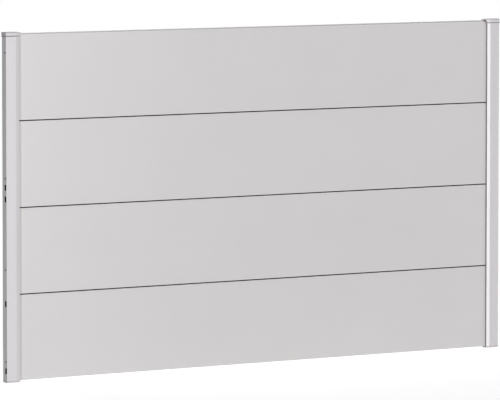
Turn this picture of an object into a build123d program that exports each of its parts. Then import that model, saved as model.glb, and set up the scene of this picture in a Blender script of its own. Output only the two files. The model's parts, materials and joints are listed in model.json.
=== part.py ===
from build123d import *
import os

# A fence panel: four hollow boards stacked on edge between two extruded side posts.
# Millimetres. X runs along the panel, the front faces -Y, Z is up.
# The origin is on the ground, midway between the posts and midway through their depth.

# Whole panel
panel_width = 1770.6        # over the outer faces of the two posts
board_pitch = 250.0         # from the bottom of one board to the bottom of the next
board_count = 4

# Post profile, seen from above
post_width = 44.8           # from the outer face to the edge of the lip
post_depth = 22.5
post_wall = 1.8
front_flat = 33.7           # flat part of the front, beside the outer corner
lip_drop = 0.95             # how far the sloping lip falls back at its edge
chamber_width = 21.2        # closed chamber behind the outer web
corner_radius = 0.6
lip_clearance = 0.3         # between the lip edges and the boards

# Holes in the outer web of each post
hole_line = 5.6             # from the front face back to the line of the holes
slot_length = 17.0
slot_width = 7.0
pilot_diameter = 4.2

# Heights of those holes, each from the bottom of the board that its name gives
slot_up_board_1 = 29.0
slot_below_board_2 = 27.5
slot_up_board_3 = 24.5
upper_slot_up_board_3 = 58.0
pilot_up_board_1 = 56.0
pilot_up_board_2 = 71.0
pilot_up_board_3 = 84.5
pilot_up_board_4 = 195.5

# Boards
board_thickness = 9.0
board_skin = 1.2
board_cells = 6             # closed cells along the height of a board
joint_gap = 2.7             # open line between two board faces
board_edge_radius = 0.5
tongue_thickness = 4.0
tongue_clearance = 0.3      # each side of the tongue
groove_depth = 10.0
board_end_gap = 2.0         # between a board's end and the inner web of the post

# Closing strip on the top board
strip_setback = 0.5         # behind the faces of the board
strip_top = 1.3             # thickness over the stub of the tongue

# Seals between the boards and the post walls
seal_width = 6.5
seal_slot_width = 2.6       # relief slot that lets the seal give
seal_slot_depth = 2.4

# Top caps, bevelled above, with a nose that slopes down over the ends of the boards
cap_plate = 4.4             # from the post end to the top
cap_rise = 2.8              # from the edge of the top's bevels to the top
cap_side_bevel = 5.0        # level width of the front and rear bevels
cap_outer_bevel = 1.2
cap_nose_slope = 13.0       # level length of the slope at the nose
cap_skirt = 9.8             # from the post end down to the edge of the skirt
cap_overhang = 2.0
cap_draw = 4.5              # height over which the skirt draws in towards the post
cap_draw_in = 1.0
cap_nose = 7.7              # from the lip of the post to the end of the nose
cap_cheek = 4.0             # depth of the nose beside the boards
cap_corner_radius = 4.0
cap_edge_radius = 1.0       # below the bevels of the top, and at the knee of the skirt
cap_clearance = 0.3         # between the skirt and the post

# Foot caps
foot_plate = 4.8
foot_front_radius = 3.4     # round lower edges of the foot, front and ends
foot_rear_radius = 4.2      # round lower edge of the foot at the rear

# Plugs of the caps in the post chamber
plug_length = 20.0
plug_wall = 2.0
plug_clearance = 0.3
plug_chamfer = 0.8

# Places that follow from the sizes above
post_x = -panel_width / 2                       # outer face of the left post
boards_bottom = foot_plate
face_height = board_pitch - joint_gap
boards_top = boards_bottom + board_count * board_pitch
web_x = post_x + post_wall + chamber_width      # chamber side of the inner web
channel_x = web_x + post_wall                   # bottom of the board channel
lip_x = post_x + post_width                     # edge of the lip
board_length = -2 * (channel_x + board_end_gap)
mouth = board_thickness / 2 + lip_clearance     # half opening between the lips


def outline(grow=0.0, nose=0.0, radius=0.0):
    """Plan of the left post's outside, larger by grow, with its lips longer by nose."""
    left = post_x - grow
    right = lip_x + max(grow, nose)
    flat_end = post_x + front_flat
    y = post_depth / 2 + grow
    lip_y = y - lip_drop * (right - flat_end) / (post_width - front_flat)
    points = [
        (left, -y), (flat_end, -y), (right, -lip_y),
        (right, lip_y), (flat_end, y), (left, y),
    ]
    face = make_face(Polyline(points, close=True))
    if radius:
        columns = face.vertices().group_by(Axis.X)
        face = fillet(columns[0] + columns[-1], radius)
    return face


def wall_inside(x):
    """Half width of the space between the front and rear walls, at a place along X."""
    fall = lip_drop / (post_width - front_flat)
    past_flat = max(0.0, x - post_x - front_flat)
    return post_depth / 2 - post_wall - fall * past_flat


def block(x_from, x_to, half_y, z_from, z_to):
    """Box between two places along X and two heights, centred in depth."""
    size = (x_to - x_from, 2 * half_y, z_to - z_from)
    centre = ((x_from + x_to) / 2, 0, (z_from + z_to) / 2)
    return Pos(*centre) * Box(*size)


def board_bottom(number):
    """Height of the bottom of a board, counted from 1 at the ground."""
    return boards_bottom + (number - 1) * board_pitch


def web_cut(sketch, height):
    """Cut through the outer web, from a sketch whose long side stands upright."""
    line_y = -post_depth / 2 + hole_line
    start = Plane(origin=(post_x - post_wall, line_y, height), x_dir=(0, 0, 1), z_dir=(1, 0, 0))
    return extrude(start * sketch, amount=2.5 * post_wall)


def make_post():
    """Extruded side post: a closed chamber, then a channel with two returned lips."""
    inside = wall_inside(post_x)
    chamber = make_face(Polyline([
        (post_x + post_wall, -inside), (web_x, -inside),
        (web_x, inside), (post_x + post_wall, inside),
    ], close=True))
    flat_end = post_x + front_flat
    back_of_lip = lip_x - post_wall
    half = wall_inside(back_of_lip)
    channel = make_face(Polyline([
        (channel_x, -inside), (flat_end, -inside), (back_of_lip, -half),
        (back_of_lip, half), (flat_end, inside), (channel_x, inside),
    ], close=True))
    opening = make_face(Polyline([
        (back_of_lip - post_wall, -mouth), (lip_x + post_wall, -mouth),
        (lip_x + post_wall, mouth), (back_of_lip - post_wall, mouth),
    ], close=True))
    section = outline(radius=corner_radius) - chamber - channel - opening
    post = extrude(Pos(0, 0, boards_bottom) * section, amount=boards_top - boards_bottom)
    slot_heights = (
        board_bottom(1) + slot_up_board_1, board_bottom(2) - slot_below_board_2,
        board_bottom(3) + slot_up_board_3, board_bottom(3) + upper_slot_up_board_3,
    )
    pilot_heights = (
        board_bottom(1) + pilot_up_board_1, board_bottom(2) + pilot_up_board_2,
        board_bottom(3) + pilot_up_board_3, board_bottom(4) + pilot_up_board_4,
    )
    for height in slot_heights:
        post -= web_cut(SlotOverall(slot_length, slot_width), height)
    for height in pilot_heights:
        post -= web_cut(Circle(pilot_diameter / 2), height)
    return post


def make_plug(z_seat, up):
    """Hollow plug that fills the post chamber, from a cap at z_seat into the post."""
    gap = plug_clearance
    left = post_x + post_wall + gap
    right = web_x - gap
    half = wall_inside(post_x) - gap
    body = block(left, right, half, 0, plug_length)
    body = chamfer(body.faces().sort_by(Axis.Z)[-1].edges(), plug_chamfer)
    body -= block(left + plug_wall, right - plug_wall, half - plug_wall, 0, plug_length)
    if not up:
        body = mirror(body, about=Plane.XY)
    return Pos(0, 0, z_seat) * body


def cap_layer(plan, inner_end, levels):
    """Layer of a top cap, from its plan and the levels at which its sides draw in.

    Each level is a height, then how far the long sides, the outer end and the inner end
    stand back there. The edges at the middle level are round.
    """
    half = post_depth / 2 + cap_overhang
    outer_end = post_x - cap_overhang
    across = [(-half + side, half - side, height) for height, side, outer, inner in levels]
    along = [(outer_end + outer, inner_end - inner, height) for height, side, outer, inner in levels]
    bottom, top = levels[0][0], levels[-1][0]
    layer = extrude(Pos(0, 0, bottom) * plan, amount=top - bottom)
    for plane, rows in ((Plane.YZ, across), (Plane.XZ, along)):
        points = [(low, height) for low, high, height in rows]
        points += [(high, height) for low, high, height in reversed(rows)]
        face = make_face(Polyline(points, close=True))
        face = fillet(face.vertices().group_by(Axis.Y)[1], cap_edge_radius)
        layer &= extrude(plane * face, amount=panel_width, both=True)
    return layer


def make_top_cap():
    """Moulded cap over the post: bevelled top, nose over the boards, skirt, and plug."""
    top_height = boards_top + cap_plate
    cheek = boards_top - cap_cheek
    skirt_bottom = boards_top - cap_skirt
    cap = cap_layer(
        outline(cap_overhang, cap_nose, cap_corner_radius),
        lip_x + cap_nose,
        [
            (cheek, 0, 0, 0),
            (top_height - cap_rise, 0, 0, 0),
            (top_height, cap_side_bevel, cap_outer_bevel, cap_nose_slope),
        ],
    )
    cap += cap_layer(
        outline(cap_overhang, radius=cap_corner_radius),
        lip_x + cap_overhang,
        [
            (skirt_bottom, cap_draw_in, cap_draw_in, cap_draw_in),
            (skirt_bottom + cap_draw, 0, 0, 0),
            (cheek, 0, 0, 0),
        ],
    )
    cap -= extrude(Pos(0, 0, skirt_bottom) * outline(cap_clearance), amount=cap_skirt)
    cap -= block(channel_x, lip_x + 2 * cap_nose, mouth, skirt_bottom, boards_top)
    return cap + make_plug(boards_top, up=False)


def rounded_below(left, right, left_radius, right_radius):
    """Upright section of the foot plate with its two lower corners round."""
    face = make_face(Polyline([
        (left, 0), (right, 0), (right, foot_plate), (left, foot_plate),
    ], close=True))
    low_left, low_right = face.vertices().group_by(Axis.Y)[0].sort_by(Axis.X)
    face = fillet(low_left, left_radius)
    low_right = face.vertices().sort_by_distance(low_right)[0]
    return fillet(low_right, right_radius)


def make_foot_cap():
    """Moulded foot under the post: plate with round lower edges, and plug."""
    half = post_depth / 2
    across = rounded_below(-half, half, foot_front_radius, foot_rear_radius)
    along = rounded_below(post_x, lip_x, foot_front_radius, foot_front_radius)
    plate = extrude(outline(radius=corner_radius), amount=foot_plate)
    plate &= extrude(Plane.YZ.offset(post_x) * across, amount=post_width)
    plate &= extrude(Plane.XZ.offset(-half) * along, amount=post_depth)
    return plate + make_plug(foot_plate, up=True)


def make_board(bottom, tongue_height):
    """Hollow board, grooved below and tongued above, with ribs between its cells."""
    half = board_thickness / 2
    tongue_half = tongue_thickness / 2
    groove_half = tongue_half + tongue_clearance
    body = Pos(0, face_height / 2) * RectangleRounded(board_thickness, face_height, board_edge_radius)
    tongue = Pos(0, face_height + tongue_height / 2) * Rectangle(tongue_thickness, tongue_height)
    groove = Pos(0, groove_depth / 2) * Rectangle(2 * groove_half, groove_depth)
    section = body + tongue - groove
    cells_from = groove_depth + board_skin
    cell_pitch = (face_height - cells_from) / board_cells
    for number in range(board_cells):
        centre = cells_from + number * cell_pitch + (cell_pitch - board_skin) / 2
        section -= Pos(0, centre) * Rectangle(2 * (half - board_skin), cell_pitch - board_skin)
    board = extrude(Plane.YZ * section, amount=board_length / 2, both=True)
    return Pos(0, 0, bottom) * board


def make_top_strip():
    """Closing strip that sits over the short tongue of the top board."""
    outer = Pos(0, joint_gap / 2) * Rectangle(board_thickness - 2 * strip_setback, joint_gap)
    stub = joint_gap - strip_top
    groove = Pos(0, stub / 2) * Rectangle(tongue_thickness + 2 * tongue_clearance, stub)
    strip = extrude(Plane.YZ * (outer - groove), amount=board_length / 2, both=True)
    return Pos(0, 0, boards_top - joint_gap) * strip


def make_front_seal():
    """Seal strip behind the front lip, filling the space between post wall and boards."""
    right = lip_x - post_wall
    left = right - seal_width
    near_board = -board_thickness / 2
    section = make_face(Polyline([
        (left, near_board), (right, near_board),
        (right, -wall_inside(right)), (left, -wall_inside(left)),
    ], close=True))
    slot_centre = ((left + right) / 2, near_board - seal_slot_depth / 2)
    section -= Pos(*slot_centre) * Rectangle(seal_slot_width, seal_slot_depth)
    return extrude(Pos(0, 0, boards_bottom) * section, amount=boards_top - boards_bottom)


def left_side_parts():
    """Everything that belongs to the left post; the right side is its mirror image."""
    front_seal = make_front_seal()
    return {
        "post": make_post(),
        "top_cap": make_top_cap(),
        "foot_cap": make_foot_cap(),
        "front_seal": front_seal,
        "rear_seal": mirror(front_seal, about=Plane.XZ),
    }


def all_parts():
    """All nodes of the panel by name."""
    parts = {}
    for name, solid in left_side_parts().items():
        parts["left_" + name] = solid
        parts["right_" + name] = mirror(solid, about=Plane.YZ)
    full_tongue = joint_gap + groove_depth
    for number in range(board_count):
        on_top = number == board_count - 1
        tongue = joint_gap - strip_top if on_top else full_tongue
        parts[f"board_{number + 1}"] = make_board(board_bottom(number + 1), tongue)
    parts["top_strip"] = make_top_strip()
    return parts


os.makedirs("parts", exist_ok=True)
for node, solid in all_parts().items():
    export_step(solid, f"parts/{node}.step")
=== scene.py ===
import json
from math import cos, pi, radians, sin, tan

import bpy
import numpy as np
from mathutils import Matrix, Vector


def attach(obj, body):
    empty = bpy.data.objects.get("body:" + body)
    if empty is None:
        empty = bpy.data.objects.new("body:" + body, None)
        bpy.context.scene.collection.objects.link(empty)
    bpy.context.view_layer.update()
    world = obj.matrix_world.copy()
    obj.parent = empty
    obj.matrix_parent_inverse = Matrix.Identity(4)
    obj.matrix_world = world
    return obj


# Looks for a silver-grey fence panel: four coated boards between two coated posts.
# Metres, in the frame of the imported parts: X along the panel, the front faces -Y, Z up.

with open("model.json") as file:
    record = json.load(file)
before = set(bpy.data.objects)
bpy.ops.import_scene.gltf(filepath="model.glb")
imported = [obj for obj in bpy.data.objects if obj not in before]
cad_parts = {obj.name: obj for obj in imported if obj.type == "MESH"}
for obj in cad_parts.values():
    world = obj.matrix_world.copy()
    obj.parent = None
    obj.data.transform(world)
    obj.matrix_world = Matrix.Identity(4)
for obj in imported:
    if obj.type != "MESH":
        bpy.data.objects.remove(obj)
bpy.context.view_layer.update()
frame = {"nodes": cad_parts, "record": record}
print("stage 1: frame loaded,", len(frame["nodes"]), "nodes")

scene = bpy.context.scene
scene.view_settings.view_transform = "Standard"


# Small helpers for shader trees

# An empty material and its shader tree
def newMaterial(name):
    material = bpy.data.materials.new(name)
    material.use_nodes = True
    material.node_tree.nodes.clear()
    return material, material.node_tree


# One node, with some of its input sockets set by name
def addNode(tree, kind, **sockets):
    node = tree.nodes.new(kind)
    for socket, value in sockets.items():
        node.inputs[socket].default_value = value
    return node


# One math node; each input is a number or an output socket
def mathNode(tree, operation, first, second=None, clamp=False):
    node = tree.nodes.new("ShaderNodeMath")
    node.operation = operation
    node.use_clamp = clamp
    for index, value in enumerate((first, second)):
        if value is None:
            continue
        if isinstance(value, (int, float)):
            node.inputs[index].default_value = value
        else:
            tree.links.new(value, node.inputs[index])
    return node.outputs[0]


# A vector or a colour times a factor, which is one number for SCALE and a vector for MULTIPLY
def vectorNode(tree, operation, source, factor):
    node = tree.nodes.new("ShaderNodeVectorMath")
    node.operation = operation
    tree.links.new(source, node.inputs[0])
    tree.links.new(factor, node.inputs["Scale" if operation == "SCALE" else 1])
    return node.outputs[0]


# An empty node group with its sockets, and its own input and output nodes
def newGroup(name, inputs, outputs):
    group = bpy.data.node_groups.new(name, "ShaderNodeTree")
    for socket, kind, start in inputs:
        made = group.interface.new_socket(socket, in_out="INPUT", socket_type=kind)
        made.default_value = start
    for socket, kind in outputs:
        group.interface.new_socket(socket, in_out="OUTPUT", socket_type=kind)
    return group, group.nodes.new("NodeGroupInput"), group.nodes.new("NodeGroupOutput")


coatSettings = {
    # noise of each effect: how fine it is, and how many steps of detail it has
    "noise": {
        "peel": {"Scale": 900.0, "Detail": 2.0},
        "flakes": {"Scale": 2600.0, "Detail": 1.0},
        "clouds": {"Scale": 4.0, "Detail": 3.0},
        "lines": {"Scale": 220.0, "Detail": 2.0},
    },
    # how far the effects swing the colour, the roughness and the height
    "color": {"flakes": 0.05, "lines": 0.02, "clouds": 0.035},
    "roughness": {"clouds": 0.06, "lines": 0.05},
    "height": {"peel": 1.0, "lines": 0.35},
}


# Coated metal: orange peel, tiny flakes, faint draw lines along the profile, and soft clouds.
# Each effect is noise on the object's own coordinates. Draw lines are noise stretched a hundred
# times along the profile's length, so they run as thin streaks. An effect's swing is its noise
# less one half, times its amount. The colour is the paint times one plus its swings, the
# roughness is the given one plus its swings, and the height is the sum of its swings.
def makeCoatGroup(settings):
    tree, given, result = newGroup("coatSurface", (
        ("Paint", "NodeSocketColor", (0.6, 0.6, 0.6, 1.0)),
        ("Stretch", "NodeSocketVector", (1.0, 1.0, 1.0)),
        ("Roughness", "NodeSocketFloat", 0.35),
    ), (
        ("Color", "NodeSocketColor"),
        ("Roughness", "NodeSocketFloat"),
        ("Height", "NodeSocketFloat"),
    ))
    place = tree.nodes.new("ShaderNodeTexCoord").outputs["Object"]
    stretched = vectorNode(tree, "MULTIPLY", place, given.outputs["Stretch"])
    noises = {}
    for effect, sockets in settings["noise"].items():
        noise = addNode(tree, "ShaderNodeTexNoise", **sockets)
        tree.links.new(stretched if effect == "lines" else place, noise.inputs["Vector"])
        noises[effect] = noise.outputs["Fac"]

    # A number or socket with its swings added
    def swing(total, amounts):
        for effect, amount in amounts.items():
            centred = mathNode(tree, "SUBTRACT", noises[effect], 0.5)
            total = mathNode(tree, "ADD", mathNode(tree, "MULTIPLY", centred, amount), total)
        return total

    gain = swing(1.0, settings["color"])
    color = vectorNode(tree, "SCALE", given.outputs["Paint"], gain)
    roughness = swing(given.outputs["Roughness"], settings["roughness"])
    tree.links.new(color, result.inputs["Color"])
    tree.links.new(roughness, result.inputs["Roughness"])
    tree.links.new(swing(0.0, settings["height"]), result.inputs["Height"])
    return tree


seamSettings = {"addedRoughness": 0.5}      # in a seam or hollow, on top of the coat's own


# Seams and hollows: dark bare metal, painted shade, where two parts meet and inside them. The
# height is folded to its distance from the nearest seam, the seams being one pitch apart.
# that distance is under half the seam's width. It is also one in a hollow, which is nearer to
# the middle plane than a depth, and between two distances from the middle of the panel. Below
# the lowest height it is zero.
# Beside a post the colour is also dimmed by a share of painted shade, one for each end of the
# panel:
# fully near one distance from the middle, and fading out at the edges of a strip round it.
def makeSeamGroup(settings):
    tree, given, result = newGroup("seamMask", (
        ("Color", "NodeSocketColor", (0.6, 0.6, 0.6, 1.0)),
        ("Roughness", "NodeSocketFloat", 0.35),
        ("Seam Color", "NodeSocketColor", (0.02, 0.02, 0.02, 1.0)),
        ("Seam Height", "NodeSocketFloat", 0.0),
        ("Pitch", "NodeSocketFloat", 1.0),
        ("Half Width", "NodeSocketFloat", 0.001),
        ("Half Depth", "NodeSocketFloat", 0.0),
        ("From X", "NodeSocketFloat", 0.0),
        ("To X", "NodeSocketFloat", 1.0),
        ("Lowest", "NodeSocketFloat", 0.0),
        ("Shade X", "NodeSocketFloat", 0.0),
        ("Shade Reach", "NodeSocketFloat", 0.0),
        ("Shade Fade", "NodeSocketFloat", 1.0),
        ("Shade Left", "NodeSocketFloat", 0.0),
        ("Shade Right", "NodeSocketFloat", 0.0),
    ), (
        ("Color", "NodeSocketColor"),
        ("Roughness", "NodeSocketFloat"),
        ("Metallic", "NodeSocketFloat"),
    ))
    look = given.outputs
    place = tree.nodes.new("ShaderNodeSeparateXYZ")
    tree.links.new(tree.nodes.new("ShaderNodeTexCoord").outputs["Object"], place.inputs[0])
    height = place.outputs["Z"]
    sideways = mathNode(tree, "ABSOLUTE", place.outputs["X"])
    depth = mathNode(tree, "ABSOLUTE", place.outputs["Y"])

    above = mathNode(tree, "SUBTRACT", height, look["Seam Height"])
    count = mathNode(tree, "ROUND", mathNode(tree, "DIVIDE", above, look["Pitch"]))
    nearest = mathNode(tree, "MULTIPLY", count, look["Pitch"])
    away = mathNode(tree, "ABSOLUTE", mathNode(tree, "SUBTRACT", above, nearest))
    atSeam = mathNode(tree, "LESS_THAN", away, look["Half Width"])

    hollow = mathNode(tree, "LESS_THAN", depth, look["Half Depth"])
    outside = mathNode(tree, "GREATER_THAN", sideways, look["From X"])
    hollow = mathNode(tree, "MULTIPLY", hollow, outside)
    within = mathNode(tree, "LESS_THAN", sideways, look["To X"])
    hollow = mathNode(tree, "MULTIPLY", hollow, within)
    high = mathNode(tree, "GREATER_THAN", height, look["Lowest"])
    mask = mathNode(tree, "MULTIPLY", mathNode(tree, "MAXIMUM", atSeam, hollow), high)
    # painted shade: the seam colour wherever the mask is one
    blend = tree.nodes.new("ShaderNodeMix")
    blend.data_type = "RGBA"
    tree.links.new(mask, blend.inputs["Factor"])
    tree.links.new(look["Color"], blend.inputs["A"])
    tree.links.new(look["Seam Color"], blend.inputs["B"])

    # painted shade beside the posts: a soft strip that dims the colour
    apart = mathNode(tree, "SUBTRACT", sideways, look["Shade X"])
    inside = mathNode(tree, "SUBTRACT", look["Shade Reach"], mathNode(tree, "ABSOLUTE", apart))
    strip = mathNode(tree, "DIVIDE", inside, look["Shade Fade"], clamp=True)
    atLeft = mathNode(tree, "LESS_THAN", place.outputs["X"], 0.0)
    atRight = mathNode(tree, "SUBTRACT", 1.0, atLeft)
    left = mathNode(tree, "MULTIPLY", atLeft, look["Shade Left"])
    right = mathNode(tree, "MULTIPLY", atRight, look["Shade Right"])
    dimming = mathNode(tree, "MULTIPLY", mathNode(tree, "ADD", left, right), strip)
    kept = mathNode(tree, "SUBTRACT", 1.0, dimming)
    color = vectorNode(tree, "SCALE", blend.outputs["Result"], kept)

    added = mathNode(tree, "MULTIPLY", mask, settings["addedRoughness"])
    roughness = mathNode(tree, "ADD", look["Roughness"], added)
    tree.links.new(color, result.inputs["Color"])
    tree.links.new(roughness, result.inputs["Roughness"])
    tree.links.new(mask, result.inputs["Metallic"])
    return tree


coatGroup = makeCoatGroup(coatSettings)
seamGroup = makeSeamGroup(seamSettings)

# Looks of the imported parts: "stretch" is small along the length of a drawn profile, and "bump"
# is the height of the coat's relief

boardLook = {
    "paint": (0.648, 0.63, 0.632),
    "roughness": 0.20,
    "bump": 0.000004,
    "stretch": (0.01, 1.0, 1.0),
    "ior": 1.69,
    # the seams: painted shade, near black, in the joints and over their rounded edges
    "seam": {
        "Seam Color": (0.02, 0.02, 0.02, 1.0),
        "Seam Height": 0.25345,   # middle of the lowest open joint
        "Pitch": 0.25,
        "Half Width": 0.00165,
        "Half Depth": 0.0030,     # all that lies nearer to the middle plane is inside a joint
        "Lowest": 0.02,
        "Shade X": 0.8349,        # painted shade on the boards beside the posts, deeper at the left
        "Shade Reach": 0.0053,
        "Shade Fade": 0.0025,
        "Shade Left": 0.25,
        "Shade Right": 0.05,
    },
}
postLook = {
    "paint": (0.617, 0.591, 0.617),
    "roughness": 0.20,
    "bump": 0.000004,
    "stretch": (1.0, 1.0, 0.01),
    "ior": 1.69,
    "lacquer": {"Coat Weight": 1.0, "Coat Roughness": 0.06, "Coat IOR": 1.5},
    "seam": {
        "Seam Color": (0.006, 0.006, 0.006, 1.0),
        "Half Width": 0.0,
        "Half Depth": 0.0095,     # painted shade, near black, in the chamber and on the walls of its slots and holes
        "From X": 0.8620,
        "To X": 0.8851,
        "Shade X": 0.8405,        # painted shade on the returns of the lips, down to the boards
        "Shade Reach": 0.0003,
        "Shade Fade": 0.0001,
        "Shade Left": 0.42,
        "Shade Right": 0.42,
    },
}
capLook = {
    "paint": (0.65, 0.62, 0.65),
    "roughness": 0.22,
    "bump": 0.000006,
    "stretch": (1.0, 1.0, 1.0),
    "ior": 1.69,
}
topCapLook = {
    **capLook,
    "seam": {
        "Seam Color": (0.02, 0.02, 0.02, 1.0),
        "Seam Height": 0.9970,    # painted shadow: a dark line round the skirt, a little above its edge
        "Half Width": 0.0007,
        "Lowest": 0.9950,
        "Shade X": 0.8345,        # painted shade on the end of the nose over the boards
        "Shade Reach": 0.0028,
        "Shade Fade": 0.0006,
        "Shade Left": 0.2,
        "Shade Right": 0.6,
    },
}
footCapLook = {
    **capLook,
    "seam": {
        "Seam Color": (0.02, 0.02, 0.02, 1.0),
        "Seam Height": 0.0048,    # joint between the foot and the post
        "Half Width": 0.0005,
        "Lowest": 0.0030,
    },
}
stripLook = {
    "paint": (0.46, 0.44, 0.45),
    "roughness": 0.25,
    "bump": 0.000004,
    "stretch": (0.01, 1.0, 1.0),
    "ior": 1.69,
}
sealLook = {
    "paint": (0.02, 0.02, 0.02),
    "roughness": 0.7,
    "bump": 0.00005,
    "stretch": (1.0, 1.0, 0.02),
    "ior": 1.5,
}


# A coated or moulded surface from its look, with lacquer and seams where it has any
def makeCoatMaterial(name, look):
    material, tree = newMaterial(name)
    coat = tree.nodes.new("ShaderNodeGroup")
    coat.node_tree = coatGroup
    coat.inputs["Paint"].default_value = (*look["paint"], 1.0)
    coat.inputs["Stretch"].default_value = look["stretch"]
    coat.inputs["Roughness"].default_value = look["roughness"]
    bump = addNode(tree, "ShaderNodeBump", Strength=1.0, Distance=look["bump"])
    tree.links.new(coat.outputs["Height"], bump.inputs["Height"])
    shader = addNode(tree, "ShaderNodeBsdfPrincipled", IOR=look["ior"])
    for socket, value in look.get("lacquer", {}).items():
        shader.inputs[socket].default_value = value
    surface = coat
    if "seam" in look:
        surface = tree.nodes.new("ShaderNodeGroup")
        surface.node_tree = seamGroup
        for socket, value in look["seam"].items():
            surface.inputs[socket].default_value = value
        tree.links.new(coat.outputs["Color"], surface.inputs["Color"])
        tree.links.new(coat.outputs["Roughness"], surface.inputs["Roughness"])
        tree.links.new(surface.outputs["Metallic"], shader.inputs["Metallic"])
    tree.links.new(surface.outputs["Color"], shader.inputs["Base Color"])
    tree.links.new(surface.outputs["Roughness"], shader.inputs["Roughness"])
    tree.links.new(bump.outputs["Normal"], shader.inputs["Normal"])
    output = tree.nodes.new("ShaderNodeOutputMaterial")
    tree.links.new(shader.outputs[0], output.inputs["Surface"])
    return material


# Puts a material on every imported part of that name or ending, shape untouched
def dress(material, ending):
    for nodeName, piece in frame["nodes"].items():
        if nodeName.rstrip("_0123456789").endswith(ending):
            piece.data.materials.clear()
            piece.data.materials.append(material)


dress(makeCoatMaterial("boardCoat", boardLook), "board")
dress(makeCoatMaterial("postCoat", postLook), "post")
dress(makeCoatMaterial("topCapShell", topCapLook), "top_cap")
dress(makeCoatMaterial("footCapShell", footCapLook), "foot_cap")
dress(makeCoatMaterial("stripCoat", stripLook), "top_strip")
dress(makeCoatMaterial("sealRubber", sealLook), "seal")
print("stage 2: materials on", len(frame["nodes"]), "nodes")

# Rims: the rolled edge that the punch left round each slot and pilot hole of the outer faces,
# coloured near black as painted shade

rimLook = {
    "paint": (0.03, 0.029, 0.03),
    "roughness": 0.5,
    "bump": 0.000004,
    "stretch": (1.0, 1.0, 1.0),
    "ior": 1.5,
}
rimSettings = {
    "reach": 0.0009,      # from the edge of the hole outwards
    "rise": 0.00022,      # over the face of the post
    "around": 48,         # steps round the hole
    "across": 12,         # steps round the section
}
millimetres = 1000        # in a metre


# A closed ring round one hole: an ellipse carried once round the edge of the hole. The angle
# round the hole and the angle round the ellipse are the two parameters, and the upper and lower
# halves move apart by the straight part.
def rimSurface(settings, centre, radius, straight, outward):
    turn = (np.arange(settings["around"]) + 0.5) * 2 * pi / settings["around"]
    lap = np.arange(settings["across"]) * 2 * pi / settings["across"] * outward
    angle, section = np.meshgrid(turn, lap, indexing="ij")
    away = radius + settings["reach"] / 2 * (1 - np.cos(section))
    x = centre[0] + outward * settings["rise"] * np.sin(section)
    y = centre[1] + away * np.sin(angle)
    z = centre[2] + away * np.cos(angle) + np.sign(np.cos(angle)) * straight / 2
    return np.stack([x, y, z], axis=-1).reshape(-1, 3)


# Corners of the quads of a surface that closes on itself both ways: each point, the next one
# around, the next one around and across, and the next one across
def wrappedQuads(around, across):
    here, beside = np.meshgrid(np.arange(around), np.arange(across), indexing="ij")
    onward, over = (here + 1) % around, (beside + 1) % across
    quads = [(here, beside), (onward, beside), (onward, over), (here, over)]
    corners = [row * across + column for row, column in quads]
    return np.stack(corners, axis=-1).reshape(-1, 4)


# Every hole on one post, from the record's bolt patterns: place, radius and straight part, in
# metres. A pattern is two holes, half their spacing above and below its middle.
def holesOf(side):
    holes = []
    for mount in frame["record"]["mounts"]:
        if mount["kind"] != "bolt_pattern" or not mount["name"].startswith(side):
            continue
        sizes = mount["dims"]
        width = 2 * sizes["hole_r_mm"]
        length = sizes.get("slot_length_mm", width)
        radius = sizes["hole_r_mm"] / millimetres
        straight = (length - width) / millimetres
        spacing = sizes["spacing_y_mm"] / millimetres
        for shift in (-spacing / 2, spacing / 2):
            holes.append((np.array(mount["pos_m"]) + [0, 0, shift], radius, straight))
    return holes


# One piece of all the rings on a post; outward is the way its outer face looks along X
def makeRims(settings, side, outward, material):
    rings = [rimSurface(settings, *hole, outward) for hole in holesOf(side)]
    quads = wrappedQuads(settings["around"], settings["across"])
    faces = np.concatenate([quads + number * len(rings[0]) for number in range(len(rings))])
    mesh = bpy.data.meshes.new(side + "_rims")
    mesh.from_pydata(np.concatenate(rings).tolist(), [], faces.tolist())
    mesh.polygons.foreach_set("use_smooth", np.ones(len(faces), dtype=bool))
    mesh.materials.append(material)
    piece = bpy.data.objects.new(side + "_rims", mesh)
    scene.collection.objects.link(piece)
    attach(piece, "root")


rimMaterial = makeCoatMaterial("rimCoat", rimLook)
makeRims(rimSettings, "left", -1, rimMaterial)
makeRims(rimSettings, "right", 1, rimMaterial)
print("stage 3: rims round the slots and holes")

# Floor, world and lamps

floorSettings = {
    "halfSize": 12.0,
    "cells": 8,
    "color": (0.86, 0.86, 0.86),
    "lift": 0.70,          # plain white added for the camera and for reflections only
}
worldSettings = {"ambient": 0.12}
boxDistance = 30.0
softboxSettings = {
    # upright sheets of light in front: middle, width, foot and head in degrees, and brightness
    "tallBox": {"azimuth": 17.3, "width": 25.0, "lowest": -8.0, "highest": 25.0,
                "brightness": 4.3},
    "wideBox": {"azimuth": -8.0, "width": 24.0, "lowest": -45.0, "highest": 45.0,
                "brightness": 2.35},
}
rearLampSettings = {
    "azimuth": 168.0,
    "elevation": 14.0,
    "distance": 6.0,
    "strength": 2.2,
    "softness": 30.0,      # its width in degrees
}


# A flat sheet on a grid: x and y are the two parameters, z is the same everywhere
def gridSurface(name, across, along, height):
    columns, rows = np.meshgrid(across, along)
    points = np.stack([columns.ravel(), rows.ravel(), np.full(columns.size, height)], axis=1)
    width = len(across)
    first = (np.arange(len(along) - 1)[:, None] * width + np.arange(width - 1)[None, :]).ravel()
    faces = np.stack([first, first + 1, first + width + 1, first + width], axis=1)
    mesh = bpy.data.meshes.new(name)
    mesh.from_pydata(points.tolist(), [], faces.tolist())
    sheet = bpy.data.objects.new(name, mesh)
    scene.collection.objects.link(sheet)
    return sheet


# One for rays of the camera, of reflections and through glass, else zero
def seenDirectly(tree):
    path = tree.nodes.new("ShaderNodeLightPath")
    seen = mathNode(tree, "MAXIMUM", path.outputs["Is Camera Ray"], path.outputs["Is Glossy Ray"])
    return mathNode(tree, "MAXIMUM", seen, path.outputs["Is Transmission Ray"])


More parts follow.
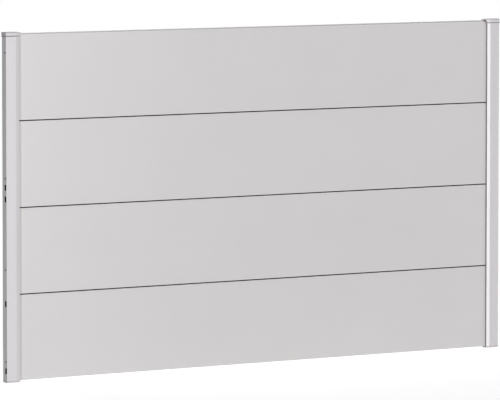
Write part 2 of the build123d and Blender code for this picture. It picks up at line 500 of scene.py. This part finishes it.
# A plain pale floor: matt paint, plus a glow that only the camera and reflections see
def makeFloor(settings):
    side = np.linspace(-settings["halfSize"], settings["halfSize"], settings["cells"] + 1)
    floor = gridSurface("floor", side, side, 0.0)
    material, tree = newMaterial("floorPaint")
    matt = addNode(tree, "ShaderNodeBsdfDiffuse", Color=(*settings["color"], 1.0))
    glow = tree.nodes.new("ShaderNodeEmission")
    lift = mathNode(tree, "MULTIPLY", seenDirectly(tree), settings["lift"])
    tree.links.new(lift, glow.inputs["Strength"])
    both = tree.nodes.new("ShaderNodeAddShader")
    tree.links.new(matt.outputs[0], both.inputs[0])
    tree.links.new(glow.outputs[0], both.inputs[1])
    output = tree.nodes.new("ShaderNodeOutputMaterial")
    tree.links.new(both.outputs[0], output.inputs["Surface"])
    floor.data.materials.append(material)
    floor.visible_shadow = False      # the foot of the wide softbox shines up through it
    floor.visible_glossy = False


# White for the camera and reflections, and a dim even light on everything else
def makeWorld(settings):
    world = bpy.data.worlds.new("studio")
    world.use_nodes = True
    tree = world.node_tree
    tree.nodes.clear()
    sky = addNode(tree, "ShaderNodeBackground", Color=(1.0, 1.0, 1.0, 1.0))
    room = mathNode(tree, "MULTIPLY", seenDirectly(tree), 1.0 - settings["ambient"])
    tree.links.new(mathNode(tree, "ADD", room, settings["ambient"]), sky.inputs["Strength"])
    output = tree.nodes.new("ShaderNodeOutputWorld")
    tree.links.new(sky.outputs[0], output.inputs["Surface"])
    scene.world = world


# From the panel to a lamp; azimuth runs from the front towards +X
def lampDirection(azimuth, elevation):
    turn, lift = radians(azimuth), radians(elevation)
    return Vector((sin(turn) * cos(lift), -cos(turn) * cos(lift), sin(lift)))


# A lamp shines along its own -Z, so its Z axis points away from the panel
def placeLamp(name, light, location, away):
    lamp = bpy.data.objects.new(name, light)
    lamp.rotation_euler = away.to_track_quat("Z", "Y").to_euler()
    lamp.location = location
    scene.collection.objects.link(lamp)


# An upright rectangle that fills its angles as seen from the panel: its sides are the distance
# times the tangents of the angles, and its power is brightness times pi times area
def makeSoftbox(name, settings):
    level = lampDirection(settings["azimuth"], 0.0)
    low, high = (boxDistance * tan(radians(settings[end])) for end in ("lowest", "highest"))
    light = bpy.data.lights.new(name, "AREA")
    light.shape = "RECTANGLE"
    light.size = 2 * boxDistance * tan(radians(settings["width"] / 2))
    light.size_y = high - low
    light.energy = settings["brightness"] * pi * light.size * light.size_y
    placeLamp(name, light, level * boxDistance + Vector((0.0, 0.0, (low + high) / 2)), level)


# A broad soft sun behind the panel, low on its right
def makeRearLamp(settings):
    light = bpy.data.lights.new("rearLamp", "SUN")
    light.energy = settings["strength"]
    light.angle = radians(settings["softness"])
    away = lampDirection(settings["azimuth"], settings["elevation"])
    placeLamp("rearLamp", light, away * settings["distance"], away)


makeFloor(floorSettings)
makeWorld(worldSettings)
for boxName, boxSettings in softboxSettings.items():
    makeSoftbox(boxName, boxSettings)
makeRearLamp(rearLampSettings)
print("stage 4: floor, world and lamps")

# Camera, worked out from the lines of the panel in the picture

cameraSettings = {
    "azimuth": 34.47,      # degrees to the left of the panel's front
    "elevation": 4.29,
    "target": (-0.0389, -0.01125, 0.4920),
    "distance": 14.92,
    "focalPixels": 5039.0,
    "framePixels": 500.0,
    "sensor": 36.0,        # millimetres
    "farthest": 300.0,
}


# A long lens at a distance from its target, level from side to side. The matrix has the
# camera's right, up and backward directions and its place as columns.
def makeCamera(settings):
    yaw, pitch = radians(settings["azimuth"]), radians(settings["elevation"])
    forward = Vector((sin(yaw) * cos(pitch), cos(yaw) * cos(pitch), -sin(pitch)))
    right = Vector((cos(yaw), -sin(yaw), 0.0))
    up = right.cross(forward)
    place = Vector(settings["target"]) - forward * settings["distance"]
    data = bpy.data.cameras.new("viewCamera")
    data.sensor_width = settings["sensor"]
    data.lens = settings["sensor"] * settings["focalPixels"] / settings["framePixels"]
    data.clip_end = settings["farthest"]
    camera = bpy.data.objects.new("viewCamera", data)
    camera.matrix_world = Matrix((
        (right.x, up.x, -forward.x, place.x),
        (right.y, up.y, -forward.y, place.y),
        (right.z, up.z, -forward.z, place.z),
        (0.0, 0.0, 0.0, 1.0),
    ))
    scene.collection.objects.link(camera)
    scene.camera = camera


makeCamera(cameraSettings)
print("stage 5: camera")
